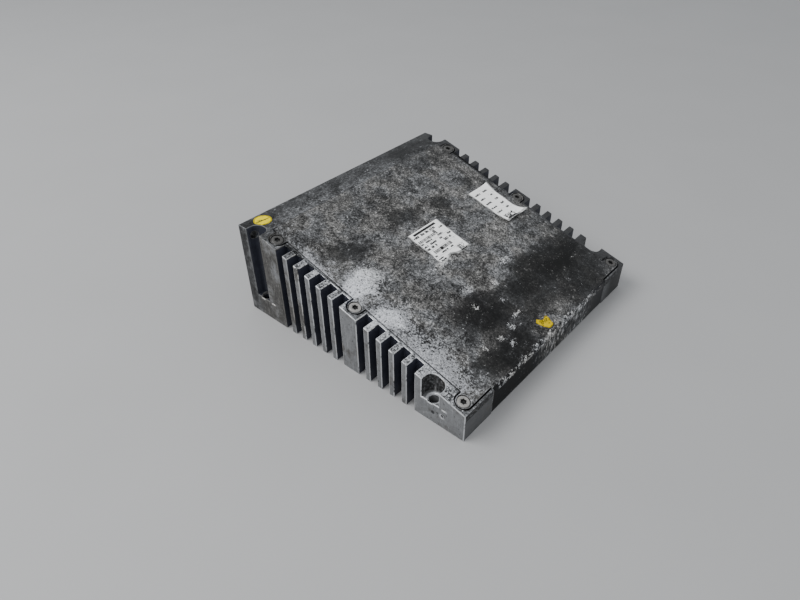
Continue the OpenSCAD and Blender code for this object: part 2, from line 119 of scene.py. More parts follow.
class Graph:
    """A small builder for procedural materials. Lengths inside it are millimetres."""

    def __init__(self, name):
        self.material = bpy.data.materials.new(name)
        self.material.use_nodes = True
        self.tree = self.material.node_tree
        self.tree.nodes.clear()
        self.shader = self.make("BsdfPrincipled")
        self.make("OutputMaterial", self.shader.outputs[0])
        coords = self.make("TexCoord")
        self.mm = self.vector("SCALE", coords.outputs["Object"], scale=1 / MM)
        self.x, self.y, self.z = self.split(self.mm)
        self.nx, self.ny, self.nz = self.split(coords.outputs["Normal"])

    def make(self, kind, *values, **settings):
        """A node with its settings and the values of its first inputs, where None leaves one as it is."""
        node = self.tree.nodes.new("ShaderNode" + kind)
        for name, setting in settings.items():
            setattr(node, name, setting)
        for socket, value in zip(node.inputs, values):
            self.put(socket, value)
        return node

    def put(self, socket, value):
        if isinstance(value, bpy.types.NodeSocket):
            self.tree.links.new(value, socket)
        elif value is not None:
            socket.default_value = value

    def split(self, vector):
        return self.make("SeparateXYZ", vector).outputs

    def join(self, x, y):
        return self.make("CombineXYZ", x, y).outputs[0]

    def vector(self, operation, a, b=None, scale=None):
        node = self.make("VectorMath", a, b, None, scale, operation=operation)
        return node.outputs["Value"] if operation == "LENGTH" else node.outputs["Vector"]

    def math(self, operation, a, b=None):
        return self.make("Math", a, b, operation=operation).outputs[0]

    def chain(self, operation, values):
        return functools.reduce(lambda a, b: self.math(operation, a, b), values)

    def add(self, *values):
        return self.chain("ADD", values)

    def times(self, *values):
        return self.chain("MULTIPLY", values)

    def most(self, *values):
        return self.chain("MAXIMUM", values)

    def within(self, value, low, high):
        return self.math("MINIMUM", self.math("MAXIMUM", value, low), high)

    def flip(self, value):
        return self.math("SUBTRACT", 1.0, value)

    def size(self, value):
        return self.math("ABSOLUTE", value)

    def about(self, value, amount):
        """A noise value turned into a change of up to half of amount, both ways."""
        return self.times(self.math("SUBTRACT", value, 0.5), amount)

    def ramp(self, value, low, high, to_low=0.0, to_high=1.0):
        """A smooth step of value from low to high."""
        node = self.make("MapRange", value, low, high, to_low, to_high, interpolation_type="SMOOTHSTEP")
        return node.outputs[0]

    def mix(self, factor, a, b):
        return self.make("Mix", factor, None, a, b).outputs[0]

    def mix_color(self, factor, a, b):
        node = self.make("Mix", factor, data_type="RGBA")
        self.put(node.inputs[6], a)
        self.put(node.inputs[7], b)
        return node.outputs[2]

    def attribute(self, name):
        return self.make("Attribute", attribute_name=name).outputs["Fac"]

    def stretched(self, x, y, z, turn=0.0):
        """The coordinates divided by three lengths, after a turn about Z."""
        turned = self.make("Mapping", self.mm, None, (0, 0, turn))
        return self.make("Mapping", turned.outputs[0], None, None, (1 / x, 1 / y, 1 / z)).outputs[0]

    def noise(self, size, detail=3.0, rough=0.5, where=None):
        return self.make("TexNoise", where or self.mm, None, 1 / size, detail, rough).outputs["Fac"]

    def warped(self, size, amount, source=None):
        """The coordinates pushed about by a noise, so that shapes lose their straight outlines."""
        node = self.make("TexNoise", source or self.mm, None, 1 / size, 3.0)
        push = self.vector("SUBTRACT", node.outputs["Color"], (0.5, 0.5, 0.5))
        push = self.vector("SCALE", push, scale=4 * amount)
        return self.vector("ADD", source or self.mm, push)

    def zone(self, where, x, y, rx, ry, core=0.3):
        """One at the middle of an ellipse on the plan, fading to nothing at its rim."""
        node = self.make("Mapping", where, (-x / rx, -y / ry, 0), None, (1 / rx, 1 / ry, 0))
        return self.ramp(self.vector("LENGTH", node.outputs[0]), core, 1.0, 1.0, 0.0)

    def grey(self, level, tint=(1.0, 1.0, 1.0)):
        """A colour from a display-like grey level, with a tint."""
        linear = self.math("POWER", self.math("MAXIMUM", level, 0.02), 2.2)
        return self.vector("SCALE", tint, scale=linear)

    def bump(self, height, depth, strength=1.0):
        node = self.make("Bump")
        self.put(node.inputs["Strength"], strength)
        self.put(node.inputs["Distance"], depth * MM)
        self.put(node.inputs["Height"], height)
        self.put(self.shader.inputs["Normal"], node.outputs[0])

    def gloss(self, amount):
        self.shader.inputs["Specular IOR Level"].default_value = amount

    def finish(self, color, roughness, metallic=0.0):
        self.put(self.shader.inputs["Base Color"], color)
        self.put(self.shader.inputs["Roughness"], roughness)
        self.put(self.shader.inputs["Metallic"], metallic)
        return self.material


# ----- materials

# The metal parts' grey levels are set for a dimmer light than the scene has
DIM = 0.89

# How much the dull coating, the label films and the sticker paper reflect
COATING_GLOSS = 0.25
FILM_GLOSS = 0.15
STICKER_GLOSS = 0.1

# Patches of the worn coating on the plan: x, y, radius along x, radius along y, change of level
LID_ZONES = [
    (-54, 29, 25, 15, -0.15), (-30, 62, 30, 16, -0.05), (-1, 32, 26, 10, -0.12),
    (30, 25, 14, 9, -0.12), (66, 31, 10, 10, -0.10), (60, 72, 44, 26, -0.08),
    (-75, 88, 30, 12, -0.06), (-92, 80, 14, 20, -0.16), (0, 94, 150, 24, -0.10),
    (75, 88, 50, 14, -0.06), (-31, -58, 28, 23, -0.26), (-40, -86, 42, 15, -0.24),
    (50, -55, 62, 19, -0.22), (62, -78, 58, 28, -0.20), (4, -70, 34, 24, -0.15),
    (20, -14, 60, 20, 0.05),
]

# Patches rubbed down to bare metal, in the same form, with how bare each one is
BARE_ZONES = [
    (-75, 4, 25, 16, 1.15),
    (-82, -24, 26, 20, 1.0),
    (-86, -60, 36, 48, 0.62),
    (-86, 32, 11, 36, 0.6),
]

# Clusters of bare flecks: x, y, radius along x, radius along y
FLECK_SPOTS = [
    (-21, -39, 10, 5), (-28, -51, 4, 6), (0, -46, 5, 6), (-8.5, -58, 3, 4),
    (-35, -76, 5, 4), (-22, -75, 5, 5), (-50, -74, 5, 5), (-11, -71, 10, 2.4),
    (-32, -83, 6, 4), (24, -38, 14, 6), (-14, -14, 24, 6),
]

# Painted shade and highlight of dents low on the near side: along the body, height, radius, change of level
DENTS = [
    (-72.2, 8.6, 1.5, -0.30),
    (-79, 9.6, 2.6, 0.14),
    (-79.6, 10.2, 1.9, -0.34),
    (-75.6, 10.2, 0.9, -0.25),
]

# Where the mounting holes stand, as distances from the middle of the body, and the ring around each
HOLE_PLACES = [(93, 80.3), (93, 69.7)]
HOLE_RING = 5.2

# The coating's own level, and the mean of the mottling that is added to it
COAT_LEVEL = 0.355
MOTTLE_MEAN = 0.355

# The darkest and the brightest level on the metal parts
DARKEST = 0.03
BRIGHTEST = 1.0

# Places of the housing, in mm: its sides, the fins' roots, the ends of the row of fins,
# both ends of the tall pockets, and where the low pockets start
SIDE_X = HOUSING_HIGH.x
FIN_ROOT_X = 88.3
FIN_ROW_Y = 59
TALL_POCKET_LOW = 73
TALL_POCKET_HIGH = 86.85
LOW_POCKET_Y = -60


def weathered(g):
    """The level and the fine detail of the worn coating that covers the top."""
    soft = g.warped(4, 2.2, g.warped(22, 7))
    patch = g.noise(15, 7, 0.70, soft)
    blotch = g.noise(5.5, 6, 0.68)
    speck = g.noise(1.7, 4, 0.72)
    fine = g.noise(1.0, 3, 0.7)
    grain = g.noise(0.55, 2, 0.7)
    level = COAT_LEVEL
    for x, y, rx, ry, change in LID_ZONES:
        level = g.add(level, g.times(g.zone(soft, x, y, rx, ry), change))
    calm = g.ramp(level, 0.16, 0.34)
    mottle = g.add(
        g.times(g.ramp(patch, 0.43, 0.56), 0.15),
        g.times(g.ramp(blotch, 0.40, 0.60), 0.16),
        g.times(g.ramp(speck, 0.38, 0.62), 0.21),
        g.times(g.ramp(fine, 0.38, 0.62), 0.20),
        g.about(grain, 0.10),
        -MOTTLE_MEAN,
    )
    level = g.add(level, g.times(mottle, g.mix(calm, 0.30, 0.95)))
    level = bare_patches(g, level, soft, patch, blotch, speck, fine)
    level = pits_and_dust(g, level, calm)
    level = fleck_clusters(g, level)
    level = rubbed_lines(g, level, soft, calm)
    return level, blotch, speck, grain


def bare_patches(g, level, soft, patch, blotch, speck, fine):
    """Adds bare metal, which the coating reaches with a ragged outline."""
    bare = 0.0
    for x, y, rx, ry, amount in BARE_ZONES:
        bare = g.most(bare, g.times(g.zone(soft, x, y, rx, ry, 0.1), amount))
    rough = g.add(g.about(blotch, 1.1), g.about(speck, 1.4), g.about(fine, 0.9), g.about(patch, 0.4))
    ragged = g.add(bare, rough)
    shine = g.add(
        0.39,
        g.times(g.ramp(bare, 0.4, 1.0), 0.30),
        g.times(g.ramp(fine, 0.36, 0.58), 0.26),
        g.times(g.ramp(speck, 0.40, 0.58), 0.14),
    )
    return g.mix(g.ramp(ragged, 0.22, 0.50), level, shine)


def pits_and_dust(g, level, calm):
    """Adds dark pits to the paler places, and pale dust outside the calm ones."""
    pits = g.times(g.ramp(g.noise(1.5, 4, 0.72), 0.435, 0.385), g.ramp(level, 0.22, 0.34))
    level = g.mix(g.times(pits, 0.9), level, 0.07)
    dust = g.times(g.ramp(g.noise(1.35, 3, 0.72), 0.62, 0.67), g.mix(calm, 0.04, 0.85))
    return g.add(level, g.times(dust, 0.42))


def fleck_clusters(g, level):
    """Adds the clusters of bare flecks."""
    spots = 0.0
    close = g.warped(2.2, 1.0)
    for x, y, rx, ry in FLECK_SPOTS:
        spots = g.most(spots, g.zone(close, x, y, rx, ry, 0.1))
    flake = g.noise(1.15, 4, 0.75, g.warped(3, 1.6))
    chips = g.ramp(g.add(g.times(spots, 0.185), flake), 0.69, 0.712)
    return g.mix(chips, level, 1.0)


def rubbed_lines(g, level, soft, calm):
    """Adds faint slanting lines, strongest on the far side of the middle."""
    lines = g.noise(1.1, 3, 0.6, g.stretched(9, 1, 9, math.radians(-38)))
    place = g.most(g.zone(soft, 42, -12, 38, 30, 0.2), 0.25)
    rub = g.times(g.ramp(lines, 0.57, 0.66), place, g.mix(calm, 0.3, 1.0))
    return g.add(level, g.times(rub, 0.16))


def worn_and_highlit_edges(g, level, speck):
    """Rounded edges rub bare first and carry a painted highlight, most of all on the near side."""
    near = g.times(g.ramp(g.x, 60, -70), g.ramp(g.y, 62, 40, 0.35, 1.0))
    broken = g.ramp(g.noise(3.0, 4, 0.65, g.stretched(1, 1, 2.5)), 0.34, 0.50)
    # Bevel faces painted lighter: rubbed wear and a painted highlight
    edge_wear_and_highlight = g.times(g.attribute("wear_and_highlight"), broken, g.mix(near, 0.35, 1.0))
    return g.mix(edge_wear_and_highlight, level, g.mix(near, 0.36, 0.88))


def flange_coat(g, level, low, blotch, speck):
    """The flange over the low end: navy black, with pale runs in the middle."""
    middle_part = g.times(g.ramp(g.x, -28, -8), g.ramp(g.x, 60, 35))
    drips = g.noise(2.2, 5, 0.76, g.stretched(1, 1, 2.2, math.radians(20)))
    faint = g.times(middle_part, g.ramp(drips, 0.40, 0.56), 0.36)
    flange = g.add(0.04, faint, g.times(g.ramp(g.x, 30, 60), 0.12))
    strong = g.times(middle_part, g.ramp(drips, 0.56, 0.62), 0.50)
    flange = g.add(flange, strong, g.about(blotch, 0.10), g.about(speck, 0.12))
    return g.mix(low, level, flange)


def bend_chips(g, level, low):
    """Chips along the bend of the lid, most of them in the middle, and short runs below them."""
    core = g.ramp(g.size(g.add(g.x, 2)), 42, 18)
    wander = g.about(g.noise(6, 4, 0.7), 6.0)
    ahead = g.ramp(g.add(g.y, g.times(core, -0.8), wander), -92.9, -93.9)
    bend = g.times(ahead, g.ramp(g.z, 15.6, 17.4))
    along = g.ramp(g.size(g.x), 70, 40)
    gaps = g.ramp(g.noise(6, 4, 0.65), 0.38, 0.58)
    flakes = g.noise(1.8, 5, 0.78, g.warped(3, 1.0))
    flakes = g.add(flakes, g.times(core, 0.03), g.times(bend, 0.05), g.times(gaps, 0.09))
    chips = g.times(g.ramp(bend, 0.05, 0.3), g.ramp(flakes, 0.638, 0.665), g.ramp(along, 0.0, 0.2))
    shine = g.add(0.36, g.times(g.ramp(g.noise(1.7, 4, 0.7), 0.40, 0.56), 0.64))
    level = g.mix(chips, level, shine)
    runs = g.times(low, g.ramp(g.noise(1.3, 3, 0.6, g.stretched(1, 1, 3)), 0.64, 0.69), along)
    return g.mix(runs, level, 0.62)


def lid_tint(g, level, low):
    """The coating's tint: neutral, navy where the flange is dark, cool where it is bare."""
    warm = g.ramp(g.noise(18, 3, 0.5), 0.4, 0.6)
    tint = g.mix_color(warm, (1.02, 1.0, 0.965, 1), (0.985, 1.0, 1.02, 1))
    navy = g.times(low, g.ramp(level, 0.20, 0.08))
    tint = g.mix_color(navy, tint, (0.66, 0.84, 1.55, 1))
    cool = g.times(g.ramp(g.x, -60, -75), g.ramp(level, 0.45, 0.65))
    return g.mix_color(cool, tint, (0.97, 0.99, 1.035, 1))


def lid_material():
    """Black coating worn to a mottled grey, with pale bare metal along the near side."""
    g = Graph("lid_coating")
    level, blotch, speck, grain = weathered(g)
    low = g.ramp(g.ny, -0.45, -0.8)
    level = flange_coat(g, level, low, blotch, speck)
    level = bend_chips(g, level, low)
    level = g.within(worn_and_highlit_edges(g, level, speck), DARKEST, BRIGHTEST)
    bare = g.ramp(level, 0.48, 0.75)
    tint = lid_tint(g, level, low)
    g.bump(g.add(g.times(speck, 0.6), blotch, g.times(grain, 0.25)), 0.10, 0.6)
    g.gloss(COATING_GLOSS)
    return g.finish(g.grey(g.times(level, DIM), tint), g.mix(bare, 0.55, 0.42), g.times(bare, 0.3))


def near_side(g, grime, tall, streaks, blotch, speck, grain):
    """Bare, nicked and scratched metal, with brown grime towards the tall end and painted shade and highlight
    in its dents.
    """
    fine = g.add(g.about(blotch, 0.20), g.about(speck, 0.22), g.about(grain, 0.10))
    side = g.add(0.53, fine, g.about(streaks, 0.10))
    side = g.mix(g.times(grime, 0.85), side, g.add(0.26, g.about(speck, 0.40), g.about(streaks, 0.25)))
    side = g.add(side, g.times(g.ramp(g.y, 86, 89), -0.12))
    nicks = g.ramp(g.noise(1.8, 3, 0.65, g.stretched(1, 1, 2.2)), 0.655, 0.685)
    side = g.mix(g.times(nicks, 0.85), side, 0.12)
    flat = g.join(g.y, g.z)
    outer = g.ramp(g.x, -94, -96)
    # Painted shade and highlight of the dents
    for y, z, radius, change in DENTS:
        side = g.add(side, g.times(g.zone(flat, y, z, radius, radius, 0.7), change, outer))
    scratch = g.ramp(g.noise(1.3, 3, 0.65, g.stretched(1, 1, 7)), 0.60, 0.66)
    return g.add(side, g.times(scratch, 0.20, g.mix(tall, 0.5, 1.0)))


def painted_facing_shade(g, side, dirt_and_shade, blotch, speck, grain):
    """Painted shade: faces that look along the body are painted darker, and so is all of the far side."""
    low_face_shade = g.add(0.38, g.about(blotch, 0.12), g.about(speck, 0.12), g.about(grain, 0.10))
    side = g.mix(g.ramp(g.ny, -0.6, -0.9), side, low_face_shade)
    tall_face_shade = g.add(0.30, g.about(dirt_and_shade, 0.25), g.about(speck, 0.10))
    side = g.mix(g.ramp(g.ny, 0.6, 0.9), side, tall_face_shade)
    far_face_shade = g.add(0.22, g.about(dirt_and_shade, 0.16), g.about(speck, 0.08))
    return g.mix(g.ramp(g.x, 70, 84), side, far_face_shade)


def low_pockets(g, side, inside, blotch, speck):
    """Painted shade on the walls of the low pockets, and a bright ring around each mounting hole that is bare
    metal with a painted highlight.
    """
    place = g.times(inside, g.ramp(g.y, LOW_POCKET_Y, LOW_POCKET_Y - 2.5), g.ramp(g.z, 15.6, 16.5))
    # Painted shade on the pocket walls
    painted_wall_shade = g.add(0.17, g.about(blotch, 0.2), g.times(g.ramp(speck, 0.48, 0.6), 0.22))
    side = g.mix(g.times(place, g.ramp(g.nz, 0.7, 0.4)), side, painted_wall_shade)
    plan = g.join(g.size(g.x), g.size(g.y))
    at_height = g.times(g.ramp(g.z, 14.0, 14.4), g.ramp(g.z, 15.7, 15.6))
    # A near-white ring around each hole: bare metal with a painted highlight
    for x, y in HOLE_PLACES:
        ring = g.times(g.zone(plan, x, y, HOLE_RING, HOLE_RING, 0.88), at_height)
        side = g.mix(g.times(ring, g.ramp(speck, 0.34, 0.46)), side, 0.98)
    return side


def coated_places(g, inside):
    """Where the navy coating is left: in the gaps between the fins and in the tall pockets."""
    in_row = g.ramp(g.size(g.y), FIN_ROW_Y + 0.5, FIN_ROW_Y - 0.5)
    in_gap = g.times(inside, g.ramp(g.size(g.ny), 0.5, 0.8), in_row)
    at_root = g.times(g.ramp(g.size(g.x), FIN_ROOT_X + 0.1, FIN_ROOT_X - 0.1), g.ramp(g.size(g.nx), 0.5, 0.8))
    above_low_end = g.ramp(g.y, TALL_POCKET_LOW - 0.5, TALL_POCKET_LOW + 0.9)
    below_tall_end = g.ramp(g.y, TALL_POCKET_HIGH + 0.15, TALL_POCKET_HIGH - 0.15)
    in_pocket = g.times(inside, above_low_end, below_tall_end, g.ramp(g.z, 69.3, 68.9))
    return g.most(in_gap, g.times(at_root, in_row), in_pocket)


def housing_top(g, top, blotch, speck):
    """The coating on the housing's own top: more broken on the near side, darker on the far side."""
    near_top = g.times(g.ramp(g.x, -86.2, -86.6), g.ramp(g.y, 73, 55))
    top = g.add(top, g.times(near_top, g.add(0.08, g.about(g.noise(1.3, 3, 0.7), 1.1))))
    return g.mix(g.ramp(g.x, 84, 89), top, g.add(0.24, g.about(blotch, 0.16), g.about(speck, 0.16)))


def housing_material():
    """Aluminium: bare and scratched on the near side, darker towards the tall end, with painted shade on
    faces turned along the body and on the far side.
    """
    g = Graph("housing_metal")
    top, blotch, speck, grain = weathered(g)
    dirt_and_shade = g.noise(13, 5, 0.65)
    streaks = g.noise(2.5, 4, 0.6, g.stretched(1, 1, 6))
    tall = g.ramp(g.y, 20, 60)
    grime = g.ramp(g.add(dirt_and_shade, g.times(tall, 0.20), g.about(streaks, 0.3)), 0.5, 0.72)
    inside = g.ramp(g.size(g.x), SIDE_X - 0.1, SIDE_X - 0.3)
    side = near_side(g, grime, tall, streaks, blotch, speck, grain)
    # Painted shade on faces turned along the body and on the far side
    side = painted_facing_shade(g, side, dirt_and_shade, blotch, speck, grain)
    side = low_pockets(g, side, inside, blotch, speck)
    coated = coated_places(g, inside)
    side = g.mix(coated, side, g.add(0.205, g.about(blotch, 0.10), g.about(speck, 0.12)))
    is_top = g.times(g.ramp(g.nz, 0.80, 0.93), g.ramp(g.z, 18, 19))
    level = g.mix(is_top, side, housing_top(g, top, blotch, speck))
    level = g.within(worn_and_highlit_edges(g, level, speck), DARKEST, BRIGHTEST)
    brown = g.times(grime, g.ramp(g.x, 0, -60), g.ramp(g.y, 88, 80), g.flip(is_top))
    tint = g.mix_color(brown, (0.97, 0.99, 1.02, 1), (1.03, 1.0, 0.95, 1))
    tint = g.mix_color(g.times(coated, g.flip(g.attribute("wear_and_highlight"))), tint, (0.84, 0.93, 1.35, 1))
    g.bump(g.add(g.times(speck, 0.5), blotch, g.times(grain, 0.3)), 0.07, 0.5)
    g.gloss(COATING_GLOSS)
    bare = g.ramp(level, 0.30, 0.60)
    return g.finish(g.grey(g.times(level, DIM), tint), g.mix(bare, 0.55, 0.40), g.times(bare, 0.5))


def screw_material():
    """Steel heads: sockets and rims painted dark with dirt and painted shade, and dirt over those at the tall
    end and on the far side.
    """
    g = Graph("screw_steel")
    speck = g.noise(0.7, 4, 0.65)
    blotch = g.noise(2.2, 4, 0.6)
    dull = g.most(g.ramp(g.y, 40, 60), g.ramp(g.x, 40, 80))
    level = g.add(0.72, g.about(speck, 0.25), g.about(blotch, 0.2))
    level = g.mix(dull, level, g.add(0.33, g.about(speck, 0.2), g.about(blotch, 0.2)))
    # Sockets and the gap around each rim painted near black: dirt and painted shade
    level = g.mix(g.attribute("dirt_and_shade"), level, g.add(0.07, g.about(speck, 0.06)))
    level = g.math("MAXIMUM", level, 0.05)
    g.bump(g.add(speck, blotch), 0.04, 0.5)
    bare = g.ramp(level, 0.2, 0.5)
    color = g.grey(g.times(level, DIM), (1.03, 1.0, 0.95))
    return g.finish(color, g.mix(bare, 0.5, 0.36), g.times(bare, 0.45))


def film_material():
    """White film with a fine grain, stains and dirty rims."""
    g = Graph("label_film")
    fibre = g.noise(0.5, 3, 0.6)
    cloud = g.noise(7, 4, 0.6)
    tone = g.add(1.0, g.about(fibre, 0.06), g.about(cloud, 0.10))
    marks = g.times(g.ramp(g.noise(2.2, 4, 0.65), 0.56, 0.68), 0.3)
    tone = g.mix(marks, tone, 0.55)
    tone = g.mix(g.times(g.attribute("dirt_and_shade"), g.ramp(cloud, 0.3, 0.6)), tone, 0.5)
    g.bump(g.add(fibre, g.times(cloud, 2.0)), 0.05, 0.5)
    g.gloss(FILM_GLOSS)
    return g.finish(g.grey(tone, (1.0, 1.0, 0.985)), 0.5)


def sticker_material():
    """Yellow paper: bright at the tall end, golden and dirty at the low end."""
    g = Graph("sticker_yellow")
    fibre = g.noise(0.5, 3, 0.6)
    cloud = g.noise(4, 5, 0.7)
    low = g.ramp(g.y, 0, -60)
    tone = g.add(0.86, g.about(fibre, 0.05), g.about(cloud, 0.06), g.times(low, -0.10))
    marks = g.times(g.ramp(g.noise(2.2, 4, 0.7), 0.54, 0.62), g.mix(low, 0.10, 0.75))
    rims = g.times(g.attribute("dirt_and_shade"), g.ramp(cloud, 0.35, 0.6), 0.6)
    tone = g.mix(g.most(marks, rims), tone, 0.36)
    g.bump(g.add(fibre, g.times(cloud, 2.0)), 0.05, 0.5)
    g.gloss(STICKER_GLOSS)
    color = g.mix_color(low, (1.16, 0.93, 0.0, 1), (1.16, 0.84, 0.0, 1))
    return g.finish(g.grey(tone, color), 0.8)


def ink_material(name, level, tint=(1, 1, 1)):
    """Print that has lost some of its black, more of it towards the far side."""
    g = Graph(name)
    wear_and_highlight_amount = g.add(g.noise(0.8, 3, 0.6), g.times(g.ramp(g.x, 40, 60), 0.12))
    tone = g.add(level, g.times(g.ramp(wear_and_highlight_amount, 0.52, 0.78), 0.28))
    return g.finish(g.grey(tone, tint), g.mix(wear_and_highlight_amount, 0.4, 0.7))


def speckled(name, color, spread, roughness, metallic=0.0, size=2.0, depth=0.03):
    """A plain finish with fine variation and lighter edges, rubbed and with a painted highlight, for the
    smaller parts.
    """
    g = Graph(name)
    fine = g.noise(size, 4, 0.6)
    grain = g.noise(size / 6, 2, 0.6)
    factor = g.add(1 - spread / 2, g.times(fine, spread), g.about(grain, spread * 0.6))
    # Edges painted lighter: rubbed wear and a painted highlight
    factor = g.add(factor, g.times(g.attribute("wear_and_highlight"), g.ramp(fine, 0.35, 0.6), 0.5))
    tone = g.vector("SCALE", tuple(color), scale=factor)
    g.bump(g.add(fine, g.times(grain, 0.5)), depth, 0.5)
    return g.finish(tone, g.mix(fine, roughness - 0.08, roughness + 0.1), metallic)


# The smaller parts' finishes: colour, spread of tone, roughness, and metallic where it isn't 0
PLAIN_FINISHES = {
    "seal_rubber": ((0.02, 0.02, 0.02), 0.5, 0.7),
    "bare_brass": ((0.62, 0.44, 0.18), 0.3, 0.3, 1.0),
    "plated_steel": ((0.55, 0.55, 0.53), 0.4, 0.35, 1.0),
    "seal_silicone": ((0.55, 0.13, 0.02), 0.2, 0.6),
    "thermal_silicone": ((0.20, 0.28, 0.36), 0.2, 0.7),
    "board_white": ((0.60, 0.62, 0.58), 0.15, 0.4),
    "chip_epoxy": ((0.03, 0.03, 0.03), 0.4, 0.55),
    "film_red": ((0.35, 0.03, 0.02), 0.2, 0.3),
    "capacitor_sleeve": ((0.02, 0.03, 0.10), 0.3, 0.3),
    "grey_moulding": ((0.10, 0.10, 0.105), 0.3, 0.5),
    "tinned_copper": ((0.60, 0.42, 0.28), 0.3, 0.35, 1.0),
    "ceramic_white": ((0.70, 0.68, 0.62), 0.1, 0.4),
    "board_green": ((0.01, 0.10, 0.03), 0.3, 0.35),
    "ferrite": ((0.05, 0.05, 0.05), 0.4, 0.6),
}
MATERIALS = {name: speckled(name, *finish) for name, finish in PLAIN_FINISHES.items()}
MATERIALS["black_moulding"] = speckled("black_moulding", (0.03, 0.03, 0.032), 0.5, 0.5, 0.0, 1.2, 0.05)
MATERIALS["housing_metal"] = housing_material()
MATERIALS["lid_coating"] = lid_material()
MATERIALS["screw_steel"] = screw_material()
MATERIALS["label_film"] = film_material()
MATERIALS["sticker_yellow"] = sticker_material()
INK = ink_material("label_ink", 0.05)
PEN = ink_material("sticker_pen", 0.10, (1.3, 1.1, 0.3))


# ----- meshes

# A face larger than this, in square mm, is flat, and so is one whose angles with its neighbours are
# outside these limits, in degrees
LARGEST_CURVED = 250
LEAST_BEND = 1
MOST_BEND = 33

# Corners with at least this angle between their faces, in degrees, are rounded
SHARP_CORNER = 32

# Faces that meet at more than this angle, in degrees, keep a crisp edge: on hard parts and on paper
CRISP = 34
CRISP_PAPER = 60


def blank_mesh():
    """An empty mesh with layers for wear with painted highlight, and for dirt with painted shade."""
    bm = bmesh.new()
    bm.faces.layers.float.new("wear_and_highlight")
    bm.faces.layers.float.new("dirt_and_shade")
    return bm


def opened(node, whole=True):
    """A CAD node's mesh, its flat faces made whole again if asked, with layers for wear with painted
    highlight, and for dirt with painted shade.
    """
    bm = bmesh.new()
    bm.from_mesh(frame["nodes"][node].data)
    bmesh.ops.remove_doubles(bm, verts=bm.verts[:], dist=SAME_PLACE * MM)
    if whole:
        flat = math.radians(0.6)
        bmesh.ops.dissolve_limit(bm, angle_limit=flat, verts=bm.verts[:], edges=bm.edges[:])
    bm.faces.layers.float.new("wear_and_highlight")
    bm.faces.layers.float.new("dirt_and_shade")
    return bm


def sharp_edges(bm, keep):
    """The outward corners of a mesh whose middles, in mm, pass the test."""
    found = []
    for edge in bm.edges:
        if len(edge.link_faces) != 2 or not edge.is_convex:
            continue
        if edge.calc_face_angle() < math.radians(SHARP_CORNER):
            continue
        if keep((edge.verts[0].co + edge.verts[1].co) / 2 / MM):
            found.append(edge)
    return found


def soften(bm, keep, width, segments, wear_and_highlight_amount):
    """Rounds the sharp outward corners that pass the test, and marks the new faces for wear and a painted
    highlight.
    """
    edges = sharp_edges(bm, keep)
    made = bmesh.ops.bevel(
        bm,
        geom=edges,
        offset=width * MM,
        offset_type="OFFSET",
        segments=segments,
        profile=0.5,
        affect="EDGES",
        clamp_overlap=False,
    )
    wear_and_highlight = bm.faces.layers.float["wear_and_highlight"]
    for face in made["faces"]:
        face[wear_and_highlight] = wear_and_highlight_amount


def is_curved(face):
    """Whether a face belongs to a rounded surface rather than to a flat one."""
    if face.calc_area() > LARGEST_CURVED * MM * MM:
        return False
    for edge in face.edges:
        if len(edge.link_faces) == 2:
            angle = edge.calc_face_angle()
            if math.radians(LEAST_BEND) < angle < math.radians(MOST_BEND):
                return True
    return False


def placed(name, data):
    """A new object in the scene."""
    obj = bpy.data.objects.new(name, data)
    bpy.context.scene.collection.objects.link(obj)
    return obj


def add_piece(name, bm, node, material, crisp=CRISP):
    """Turns a mesh into a piece that rides the body and, if one is named, stands for a CAD node."""
    mesh = bpy.data.meshes.new(name)
    bm.normal_update()
    for face in bm.faces:
        face.smooth = is_curved(face)
    bm.to_mesh(mesh)
    bm.free()
    mesh.set_sharp_from_angle(angle=math.radians(crisp))
    mesh.materials.append(material)
    obj = placed(name, mesh)
    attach(obj, BODY)
    if node:
        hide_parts(node)
    return obj


def refined(node, rounds, whole=True):
    """A CAD node with its corners rounded: rounds lists a test, a width, a segment count and the wear with
    its painted highlight.
    """
    bm = opened(node, whole)
    for keep, width, segments, wear_and_highlight_amount in rounds:
        soften(bm, keep, width, segments, wear_and_highlight_amount)
    # nothing may leave the node's own box
    low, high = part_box(node)
    for vert in bm.verts:
        vert.co = [min(max(c, a), b) for c, a, b in zip(vert.co, low, high)]
    obj = add_piece(node + "_fine", bm, node, MATERIALS[SLOT_OF[node]])


# ----- housing and lid

# The lid screws' heads: their radius, and how far their rims lie below the top
HEAD_R = 4.25
HEAD_SINK = 0.2


def head_centre(low, high):
    """The middle of a screw head's top, from the box of the whole screw: its low side in y is the head's."""
    x = (low.x + high.x) / 2
    y = low.y + HEAD_R * math.cos(SLOPE)
    return Vector((x, y, top_z(y))) - OUTWARD * HEAD_SINK


SCREW_PLACES = [head_centre(low, high) for low, high in solid_boxes("lid_screws")]
EAR_PLACES = [Vector((place.x, place.y)) for place in SCREW_PLACES]


# How far from the middle of an ear its joint reaches, how far beyond the straight joint a point may be,
# and the height under which nothing belongs to the joint
EAR_REACH = 6.6
JOINT_REACH = 0.3
JOINT_FLOOR = 17

# Where the outer surface of the housing starts: along both axes, and at its base and its top
SKIN_X = 87.5
SKIN_Y = 94.8
SKIN_DEPTH = 0.05

# How much the corners of the housing, of its side of the joint and of the lid are rounded
HOUSING_CORNER = 0.5
JOINT_CORNER = 0.18
LID_CORNER = 0.2


def by_joint(p):
    """Whether a point lies on or within the joint around the lid, seen from above."""
    if abs(p.x) < JOINT_SIDE + JOINT_REACH:
        return p.y < JOINT_TALL_Y + JOINT_REACH
    return any(math.hypot(p.x - e.x, p.y - e.y) < EAR_REACH for e in EAR_PLACES)


def on_skin(p):
    """Whether a point lies on the outer surface of the housing."""
    if abs(p.x) > SKIN_X or abs(p.y) > SKIN_Y or p.z < SKIN_DEPTH:
        return True
    return p.z > top_z(p.y) - SKIN_DEPTH


